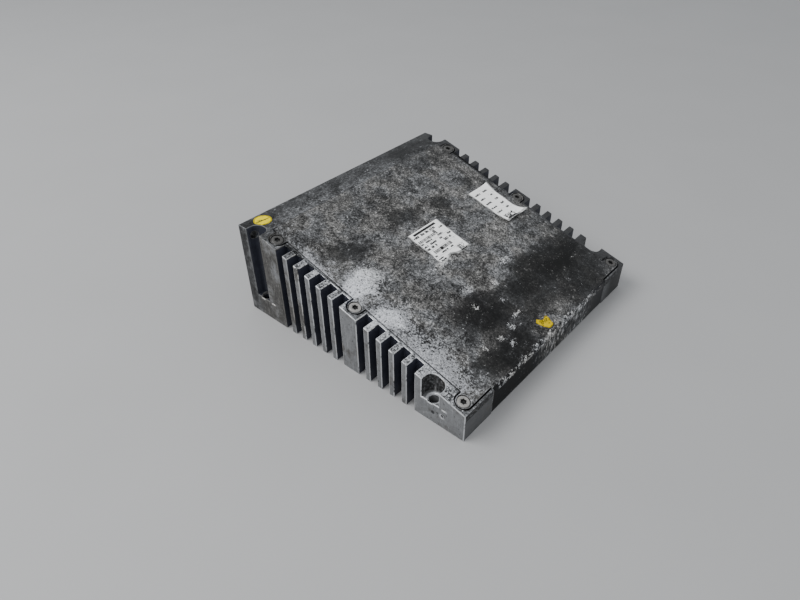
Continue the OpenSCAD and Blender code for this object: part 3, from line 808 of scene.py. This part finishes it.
def small_dent(p):
    """Whether a point lies on the rim of the smaller dent on a side."""
    y, z = DENTS[0][:2]
    return abs(p.x) > 97 and math.hypot(p.y - y, p.z - z) < 2


def outer_corner(p):
    """Whether a corner of the housing is worn round: those of the joint and of the smaller dent aren't."""
    in_joint = by_joint(p) and p.z > JOINT_FLOOR
    return on_skin(p) and not in_joint and not small_dent(p)


def joint_corner(p):
    """Whether a corner of the housing is the rim of the joint around the lid."""
    return on_skin(p) and by_joint(p) and p.z > top_z(p.y) - SKIN_DEPTH


def lid_corner(p):
    """Whether a corner of the lid is on its top or on its flange."""
    return p.z > top_z(p.y) - 0.4 or p.y < -94.5


def housing():
    refined("housing", [(outer_corner, HOUSING_CORNER, 2, 1.0), (joint_corner, JOINT_CORNER, 1, 0.35)])


def lid():
    refined("lid", [(lid_corner, LID_CORNER, 2, 0.45)], False)


def far_ears():
    """The ears on the far side, from the tall end down."""
    return sorted((e for e in EAR_PLACES if e.x > 0), key=lambda e: -e.y)


# The dirt in the joint: half its width, its depth at the middle, how long each piece is, where it starts
# along the tall end, and how far from an ear it stops
DIRT_HALF = 0.75
DIRT_DEPTH = 1.2
DIRT_STEP = 1.5
DIRT_START = -83
EAR_STOP = 6


def dirt_runs():
    """The straight runs of dirt: along the tall end, and between the ears on the far side."""
    across = (LID_SIDE + JOINT_SIDE) / 2
    tall = JOINT_TALL_Y - 0.5
    stops = [JOINT_TALL_Y]
    for ear in far_ears():
        stops += [ear.y + EAR_STOP, ear.y - EAR_STOP]
    stops.append(LID_LOW.y + 2)
    runs = [((DIRT_START, tall), (across, tall))]
    return runs + [((across, a), (across, b)) for a, b in zip(stops[0::2], stops[1::2]) if a - b > 1]


def dirt_strip(bm, rng, start, end):
    """Adds one closed strip of dirt with an uneven top, a little below the top surface."""
    (x0, y0), (x1, y1) = start, end
    steps = max(2, int(math.hypot(x1 - x0, y1 - y0) / DIRT_STEP))
    side = Vector((0, 1)) if y0 == y1 else Vector((1, 0))
    rows = []
    for k in range(steps + 1):
        x = x0 + (x1 - x0) * k / steps
        y = y0 + (y1 - y0) * k / steps
        sunk = 0.22 + rng.uniform(-0.08, 0.12)
        crest = sunk + rng.uniform(-0.05, 0.1)
        row = []
        for reach, drop in ((-DIRT_HALF, sunk), (0, crest), (DIRT_HALF, sunk), (0, DIRT_DEPTH)):
            px, py = x + side.x * reach, y + side.y * reach
            row.append(bm.verts.new(Vector((px, py, top_z(py) - drop)) * MM))
        rows.append(row)
    for before, after in zip(rows, rows[1:]):
        for i in range(4):
            j = (i + 1) % 4
            bm.faces.new((before[i], before[j], after[j], after[i]))
    bm.faces.new(rows[0])
    bm.faces.new(list(reversed(rows[-1])))


def packed_joint():
    """Dirt that fills the straight joint along the tall end and the far side to just below the top."""
    bm = blank_mesh()
    rng = random.Random(3)
    for start, end in dirt_runs():
        dirt_strip(bm, rng, start, end)
    bmesh.ops.recalc_face_normals(bm, faces=bm.faces[:])
    obj = add_piece("joint_dirt", bm, None, MATERIALS["lid_coating"])


# ----- lid screws

# The six-lobed socket: its lobes, their depth as a share of its radius, points around it, its radius
LOBES = 6
LOBE_DEPTH = 0.11
AROUND = 72
SOCKET_R = 1.9


def lobe_radius(angle, radius):
    """Radius of a six-lobed socket at an angle."""
    return radius * (1 - LOBE_DEPTH + LOBE_DEPTH * math.cos(LOBES * angle))


# Rings of a screw head from the bottom of its socket outwards: radius, lobed, height, dirt and painted shade
HEAD_RINGS = [
    (0.01, False, -1.9, 1.0),
    (SOCKET_R * 0.55, False, -1.7, 1.0),
    (SOCKET_R * 0.93, True, -1.45, 1.0),
    (SOCKET_R, True, -0.35, 1.0),
    (SOCKET_R + 0.2, True, -0.02, 0.15),
    (SOCKET_R + 0.7, False, 0.10, 0.0),
    (HEAD_R - 1.0, False, 0.06, 0.0),
    (HEAD_R - 0.6, False, -0.08, 0.05),
    (HEAD_R - 0.25, False, -0.30, 0.5),
    (HEAD_R - 0.05, False, -0.62, 1.0),
    (HEAD_R - 0.05, False, -2.1, 1.0),
]


def screw_head(bm, centre, turn):
    """Adds one domed head with a six-lobed socket, square to the slope."""
    dirt_and_shade = bm.faces.layers.float["dirt_and_shade"]
    rows = []
    marks = []
    for radius, lobed, height, mark in HEAD_RINGS:
        row = []
        for i in range(AROUND):
            angle = 2 * math.pi * i / AROUND
            r = lobe_radius(angle, radius) if lobed else radius
            point = centre + ACROSS * r * math.cos(angle + turn) + UPHILL * r * math.sin(angle + turn)
            row.append(bm.verts.new((point + OUTWARD * height) * MM))
        rows.append(row)
        marks.append(mark)
    for inner, outer, near, far in zip(rows, rows[1:], marks, marks[1:]):
        for i in range(AROUND):
            j = (i + 1) % AROUND
            face = bm.faces.new((inner[i], outer[i], outer[j], inner[j]))
            face[dirt_and_shade] = (near + far) / 2
    bm.faces.new(rows[0])[dirt_and_shade] = 1.0
    bm.faces.new(list(reversed(rows[-1])))[dirt_and_shade] = 1.0


def lid_screws():
    bm = blank_mesh()
    rng = random.Random(5)
    for centre in SCREW_PLACES:
        screw_head(bm, centre, rng.uniform(0, 1))
    bmesh.ops.recalc_face_normals(bm, faces=bm.faces[:])
    obj = add_piece("lid_screw_heads", bm, "lid_screws", MATERIALS["screw_steel"])


# ----- labels

# Heights above the top, and thicknesses, of the films, their print and the stickers' paper
FILM_TOP = 0.14
INK_TOP = 0.16
FILM_THICK = 0.1
PAPER_TOP = 0.12
PAPER_THICK = 0.08


def thicken(obj, thickness):
    """Gives a sheet its thickness, downwards, in mm."""
    thick = obj.modifiers.new("thickness", "SOLIDIFY")
    thick.thickness = thickness * MM
    thick.offset = -1


class Sheet:
    """A thin sheet on the slope, in its own coordinates: u across, v uphill, both in mm."""

    def __init__(self, node, lift, outline):
        centre = middle(node)
        self.node = node
        self.lift = lift
        self.outline = outline
        self.base = Vector((centre.x, centre.y, top_z(centre.y)))

    def point(self, u, v, above):
        place = self.base + ACROSS * u + UPHILL * v
        return (place + OUTWARD * (self.lift(u, v) + above)) * MM

    def film(self, columns, rows):
        """The film as a grid that follows the torn outline, with a thickness."""
        bm = blank_mesh()
        dirt_and_shade = bm.faces.layers.float["dirt_and_shade"]
        grid = []
        for j in range(rows + 1):
            t = j / rows
            row = []
            for i in range(columns + 1):
                u, v = self.outline(i / columns, t)
                row.append(bm.verts.new(self.point(u, v, FILM_TOP)))
            grid.append(row)
        for j in range(rows):
            for i in range(columns):
                face = bm.faces.new((grid[j][i], grid[j][i + 1], grid[j + 1][i + 1], grid[j + 1][i]))
                face[dirt_and_shade] = 1.0 if j < 2 or i < 1 or i > columns - 2 else 0.0
        slot = SLOT_OF[self.node]
        obj = add_piece(self.node + "_film", bm, self.node, MATERIALS[slot], CRISP_PAPER)
        thicken(obj, FILM_THICK)

    def print(self, marks):
        """Flat ink marks, each a left, a low, a width and a height, that follow the film."""
        bm = bmesh.new()
        for left, low, width, height in marks:
            steps = max(1, int(width / 1.5))
            for k in range(steps):
                a = left + width * k / steps
                b = left + width * (k + 1) / steps
                corners = ((a, low), (b, low), (b, low + height), (a, low + height))
                bm.faces.new([bm.verts.new(self.point(u, v, INK_TOP)) for u, v in corners])
        add_piece(self.node + "_ink", bm, None, INK, CRISP_PAPER)


def solid_bar(left, right, top, height):
    """One mark from its sides, its top and its height."""
    return (left, top - height, right - left, height)


def print_row(rng, left, right, top, height):
    """A row of small upright marks of uneven width, as print looks from afar."""
    marks = []
    u = left
    while u < right - 0.3:
        width = min(rng.uniform(0.7, 1.4), right - u)
        tall = height * rng.choice((1.05, 1.2, 1.35, 1.35))
        marks.append((u, top - height, width, tall))
        u += width + (0.10 if rng.random() > 0.14 else 0.5)
    return marks


def bar_row(rng, left, right, top, height):
    """Narrow upright bars of uneven width."""
    marks = []
    u = left
    while u < right - 0.2:
        width = rng.choice((0.35, 0.35, 0.6, 0.9))
        marks.append((u, top - height, width, height))
        u += width + rng.choice((0.22, 0.3, 0.4))
    return marks


def dot_field(rng, left, top, columns, rows, cell):
    """A made-up dot pattern with two solid sides."""
    marks = []
    for j in range(rows):
        for i in range(columns):
            if i == 0 or j == rows - 1 or rng.random() < 0.62:
                marks.append((left + i * cell, top - (j + 1) * cell, cell, cell))
    return marks


# Rows of print on each label: left, right, distance from the top edge, height
RATING_ROWS = [
    (-7.0, -3.6, 4.1, 1.5), (-2.2, 0.8, 4.1, 1.5), (2.6, 8.0, 4.0, 1.7),
    (2.8, 5.2, 6.6, 2.2), (-14.4, -9.0, 4.1, 1.4), (10.0, 14.0, 6.4, 1.3),
    (-14.6, -12.0, 11.3, 1.1), (-9.6, -2.5, 11.3, 1.1), (3.0, 8.6, 11.3, 1.1),
    (-14.6, -10.4, 14.2, 1.2), (-8.2, -1.6, 14.2, 1.2), (1.9, 4.6, 14.2, 1.2), (10.6, 14.2, 14.2, 1.2),
    (-14.6, -11.4, 16.8, 1.5), (-9.8, -7.2, 16.8, 1.5), (-5.6, -4.2, 16.8, 1.5),
    (4.0, 8.0, 16.6, 2.0), (9.2, 11.3, 16.8, 1.5),
    (-14.6, -12.4, 24.4, 1.1), (-7.4, -0.6, 24.4, 1.1), (2.2, 5.0, 24.4, 1.1),
    (-14.6, -9.6, 27.6, 1.0), (-14.0, -8.6, 29.6, 0.9),
]
SERIAL_ROWS = [
    (-9.4, -3.2, 4.6, 1.3), (0.2, 5.2, 4.6, 1.3),
    (-9.2, -3.6, 10.2, 1.2), (2.8, 5.4, 10.4, 1.1),
    (-9.4, -3.2, 15.8, 1.2), (2.2, 5.8, 15.6, 1.3),
    (-9.6, -3.2, 21.2, 1.2), (2.2, 6.0, 21.2, 1.3),
    (-9.4, -3.4, 26.6, 1.1), (2.2, 5.8, 26.4, 1.3),
]

# Thin lines across the larger label, as distances from its top edge
RATING_LINES = [13.0, 19.5, 26.4]


def rating_marks(rng, half_l):
    """The larger label's print: a heading bar, rows, two bar codes, lines and a dot pattern."""
    marks = [solid_bar(-12.0, 11.3, half_l - 1.1, 1.9)]
    for left, right, down, height in RATING_ROWS:
        marks += print_row(rng, left, right, half_l - down, height)
    marks += bar_row(rng, -14.2, 4.8, half_l - 8.1, 2.4)
    marks += bar_row(rng, -12.0, 6.6, half_l - 20.4, 2.8)
    marks.append(solid_bar(-5.4, -2.6, half_l - 20.4, 2.8))
    marks += [(-15.2, half_l - down, 30.4, 0.12) for down in RATING_LINES]
    return marks + dot_field(rng, 6.4, half_l - 26.9, 8, 7, 0.74)


def serial_marks(rng, half_l):
    """The smaller label's print: rows and a dot pattern."""
    marks = []
    for left, right, down, height in SERIAL_ROWS:
        marks += print_row(rng, left, right, half_l - down, height)
    return marks + dot_field(rng, -8.2, half_l - 31.4, 12, 7, 0.85)


def rating_label():
    width, length = 31.4, 33.3
    half_w, half_l = width / 2, length / 2
    rng = random.Random(11)
    ragged = [rng.uniform(-0.25, 0.25) for _ in range(80)]

    def low_edge(s):
        """How far the torn low edge stands above the label's corner line."""
        u = s * width
        tear = 0.6
        if u < 7:
            tear = 1.2 + 0.35 * math.sin(u * 2.3)
        elif u < 17:
            tear = 1.4 + 2.4 * math.sin((u - 7) / 10 * math.pi) ** 0.7
        elif u < 22:
            tear = 1.5 - (u - 17) * 0.22
        return tear * 0.9

    def outline(s, t):
        low = -half_l + low_edge(s) + ragged[int(s * 40)] * 0.9
        high = half_l + ragged[int(s * 40) + 39] * 0.25
        side = ragged[int(t * 36) + 20] * (0.8 if t < 0.35 else 0.3)
        return -half_w + s * width + side * (1 - s), low + t * (high - low)

    def lift(u, v):
        return 0.05 * math.sin(u * 0.5) * math.sin(v * 0.4) + 0.05

    sheet = Sheet("rating_label", lift, outline)
    sheet.film(40, 36)
    sheet.print(rating_marks(rng, half_l))


def serial_label():
    width, length = 23.0, 38.5
    half_w, half_l = width / 2, length / 2
    rng = random.Random(23)
    ragged = [rng.uniform(-0.2, 0.2) for _ in range(90)]

    def outline(s, t):
        v = -half_l + t * length
        left = -half_w + 0.5 * math.sin(t * 5) * (1 - t) + ragged[int(t * 40)] * 0.5
        right = half_w - 1.9 * math.sin(t * math.pi) ** 1.4 * (1.1 - t * 0.4) + ragged[int(t * 40) + 44] * 0.5
        if t < 0.06:
            right += 1.2 * (1 - t / 0.06)
        return left + s * (right - left), v + 0.5 * (1 - t) * math.sin(s * 5.5)

    def lift(u, v):
        """The low edge curls up most, and the far edge in two places."""
        low = max(0.0, (-v - half_l * 0.45) / (half_l * 0.55))
        right = max(0.0, (u - 4) / (half_w - 4))
        far = max(0.0, (v - half_l * 0.4) / (half_l * 0.6))
        wave = 0.5 + 0.5 * math.cos(v * 0.33)
        return 0.05 + 2.1 * low ** 1.8 + 1.1 * right ** 2 * wave + 0.5 * far ** 2 * right

    sheet = Sheet("serial_label", lift, outline)
    sheet.film(26, 42)
    sheet.print(serial_marks(rng, half_l))


# Points around a sticker
STICKER_STEPS = 60


def sticker_disc(name, node, rings, radius_at, lift, level=False):
    """A thin paper disc with its own outline, as rings of points around its middle."""
    bm = blank_mesh()
    dirt_and_shade = bm.faces.layers.float["dirt_and_shade"]
    centre = middle(node)
    base = Vector((centre.x, centre.y, TALL_H if level else top_z(centre.y)))
    along = Vector((0, 1, 0)) if level else UPHILL
    away = Vector((0, 0, 1)) if level else OUTWARD

    def at(angle, share):
        r = radius_at(angle) * share
        u, v = r * math.cos(angle), r * math.sin(angle)
        return (base + ACROSS * u + along * v + away * (PAPER_TOP + lift(u, v))) * MM

    middle_vert = bm.verts.new(at(0, 0))
    rows = []
    for k in range(1, rings + 1):
        angles = [2 * math.pi * i / STICKER_STEPS for i in range(STICKER_STEPS)]
        rows.append([bm.verts.new(at(angle, k / rings)) for angle in angles])
    for i in range(STICKER_STEPS):
        j = (i + 1) % STICKER_STEPS
        bm.faces.new((middle_vert, rows[0][i], rows[0][j]))
        for inner, outer in zip(rows, rows[1:]):
            face = bm.faces.new((inner[i], outer[i], outer[j], inner[j]))
            face[dirt_and_shade] = 1.0 if outer is rows[-1] else 0.0
    obj = add_piece(name, bm, node, MATERIALS["sticker_yellow"], CRISP_PAPER)
    thicken(obj, PAPER_THICK)
    return base, along, away


def pen_stroke(name, points, width, base, along, away, above):
    """A pen line on a sticker, as a strip through a list of points."""
    bm = bmesh.new()
    previous = None
    for k, (u, v) in enumerate(points):
        after = points[min(k + 1, len(points) - 1)]
        before = points[max(k - 1, 0)]
        direction = Vector((after[0] - before[0], after[1] - before[1])).normalized()
        side = Vector((-direction.y, direction.x)) * width / 2
        pair = []
        for sign in (-1, 1):
            place = base + ACROSS * (u + side.x * sign) + along * (v + side.y * sign) + away * above
            pair.append(bm.verts.new(place * MM))
        if previous:
            bm.faces.new((previous[0], pair[0], pair[1], previous[1]))
        previous = pair
    add_piece(name, bm, None, PEN, CRISP_PAPER)


# The torn sticker's outline around its middle: across and uphill, anticlockwise
TORN_OUTLINE = [
    (5.6, 2.9), (4.6, 2.7), (3.0, 1.9), (2.2, 0.9), (1.2, 1.0), (-0.4, 1.2), (-1.6, 2.0),
    (-1.9, 3.4), (-2.6, 4.4), (-3.6, 4.1), (-4.2, 3.4), (-5.9, 2.7), (-5.6, 1.4), (-5.2, 0.2),
    (-4.4, -1.6), (-3.9, -3.1), (-2.4, -5.0), (-1.6, -5.9), (0.2, -6.1), (2.6, -5.8), (3.6, -5.2),
    (4.0, -3.5), (4.9, -1.6), (5.3, -0.2), (5.2, 1.2),
]


def torn_edge(angle):
    """Distance from the middle to the torn outline in a direction."""
    du, dv = math.cos(angle), math.sin(angle)
    for (u0, v0), (u1, v1) in zip(TORN_OUTLINE, TORN_OUTLINE[1:] + TORN_OUTLINE[:1]):
        cross = du * (v1 - v0) - dv * (u1 - u0)
        if abs(cross) < 1e-9:
            continue
        reach = (u0 * (v1 - v0) - v0 * (u1 - u0)) / cross
        share = (u0 * dv - v0 * du) / cross
        if reach > 0 and 0 <= share <= 1:
            return reach
    raise ValueError("the torn outline doesn't go around its middle")


def round_edge(angle):
    """Radius of the round sticker, cut a little unevenly."""
    return 6.25 + 0.06 * math.sin(5 * angle) + 0.05 * math.sin(11 * angle + 1)


def crumple(u, v):
    """How far the torn sticker stands off the lid."""
    return 0.10 + 0.10 * math.sin(1.7 * u + 0.5) * math.cos(1.4 * v) + max(0, v) * 0.05


def round_sticker():
    plane = sticker_disc("round_sticker_paper", "round_sticker", 6, round_edge, lambda u, v: 0.0, True)
    first = [(-5.2 + 0.35 * k, -0.9 * k / 29 + 0.8 * math.sin(k * 1.7) * (1 - k / 40)) for k in range(30)]
    pen_stroke("round_sticker_scribble", first, 0.6, *plane, 0.15)
    second = [(-3.4 + 0.4 * k, 1.6 - 0.22 * k + 0.5 * math.sin(k * 2.1)) for k in range(14)]
    pen_stroke("round_sticker_stroke", second, 0.55, *plane, 0.16)


def torn_sticker():
    plane = sticker_disc("torn_sticker_paper", "torn_sticker", 8, torn_edge, crumple)
    stroke = [(-3.6 + 0.4 * k, -0.4 + 0.9 * math.sin(k * 1.3)) for k in range(18)]
    pen_stroke("torn_sticker_scribble", stroke, 0.4, *plane, 0.42)


# ----- the other parts

# How far the corners of each smaller part are rounded, in mm
FINE_CORNERS = {
    "terminal_block": 0.5, "signal_header": 0.4, "terminal_bushes": 0.25,
    "terminal_block_screws": 0.2, "signal_screws": 0.15, "signal_pins": 0.08, "mosfets": 0.25,
    "film_capacitors": 0.5, "dc_capacitors": 0.9, "capacitor_tray": 0.3, "power_inductor": 0.6,
    "processor": 0.15, "driver_chips": 0.15, "positive_busbar": 0.25, "negative_busbar": 0.25,
    "phase_busbars": 0.25, "current_sensors": 0.4, "stacking_header": 0.2, "board_standoffs": 0.2,
}


def other_parts():
    for node, obj in frame["nodes"].items():
        obj.data.materials.clear()
        obj.data.materials.append(MATERIALS[SLOT_OF[node]])
    for node, width in FINE_CORNERS.items():
        refined(node, [(lambda p: True, width, 2, 1.0)])


# ----- stage

# The floor: half its side in metres, and its level
FLOOR_HALF = 4.0
FLOOR_LEVEL = 0.64


def floor():
    mesh = bpy.data.meshes.new("floor")
    signs = ((-1, -1), (1, -1), (1, 1), (-1, 1))
    mesh.from_pydata([(x * FLOOR_HALF, y * FLOOR_HALF, 0) for x, y in signs], [], [(0, 1, 2, 3)])
    obj = placed("floor", mesh)
    g = Graph("floor_paint")
    level = g.add(FLOOR_LEVEL, g.times(g.noise(90, 2, 0.5), 0.02))
    obj.data.materials.append(g.finish(g.grey(level), 0.6))


# Each light: name, place and size in metres, power in watts
LIGHTS = [
    ("key", (-0.9, 0.7, 1.3), (1.2, 0.8), 25),
    ("fill", (-0.9, -0.5, 0.8), (0.8, 0.8), 4),
]
SKY_COLOR = (0.93, 0.96, 1.0, 1)
SKY_STRENGTH = 0.68


def area_light(name, place, size, power):
    """A rectangular light that points at the origin."""
    data = bpy.data.lights.new(name, "AREA")
    data.shape = "RECTANGLE"
    data.size, data.size_y = size
    data.energy = power
    obj = placed(name, data)
    obj.location = place
    obj.rotation_euler = (-Vector(place)).to_track_quat("-Z", "Y").to_euler()


def lights():
    for name, place, size, power in LIGHTS:
        area_light(name, place, size, power)
    world = bpy.data.worlds.new("studio")
    world.use_nodes = True
    sky = world.node_tree.nodes["Background"]
    sky.inputs["Color"].default_value = SKY_COLOR
    sky.inputs["Strength"].default_value = SKY_STRENGTH
    bpy.context.scene.world = world


# The camera's place and aim: it looks down the diagonal at the object's low near corner
CAMERA_PLACE = Vector((-292.6, -220.8, 285.5)) * MM
CAMERA_YAW = math.radians(48.42)
CAMERA_PITCH = math.radians(38.33)
CAMERA_ROLL = math.radians(-0.61)
CAMERA_LENS = 28.07


def camera():
    data = bpy.data.cameras.new("camera")
    data.lens = CAMERA_LENS
    data.clip_start = 0.01
    obj = placed("camera", data)
    heading = Matrix.Rotation(-CAMERA_YAW, 4, "Z")
    tilt = Matrix.Rotation(math.pi / 2 - CAMERA_PITCH, 4, "X")
    roll = Matrix.Rotation(CAMERA_ROLL, 4, "Z")
    obj.matrix_world = Matrix.Translation(CAMERA_PLACE) @ heading @ tilt @ roll
    bpy.context.scene.camera = obj


other_parts()
housing()
lid()
packed_joint()
lid_screws()
rating_label()
serial_label()
round_sticker()
torn_sticker()
floor()
lights()
camera()
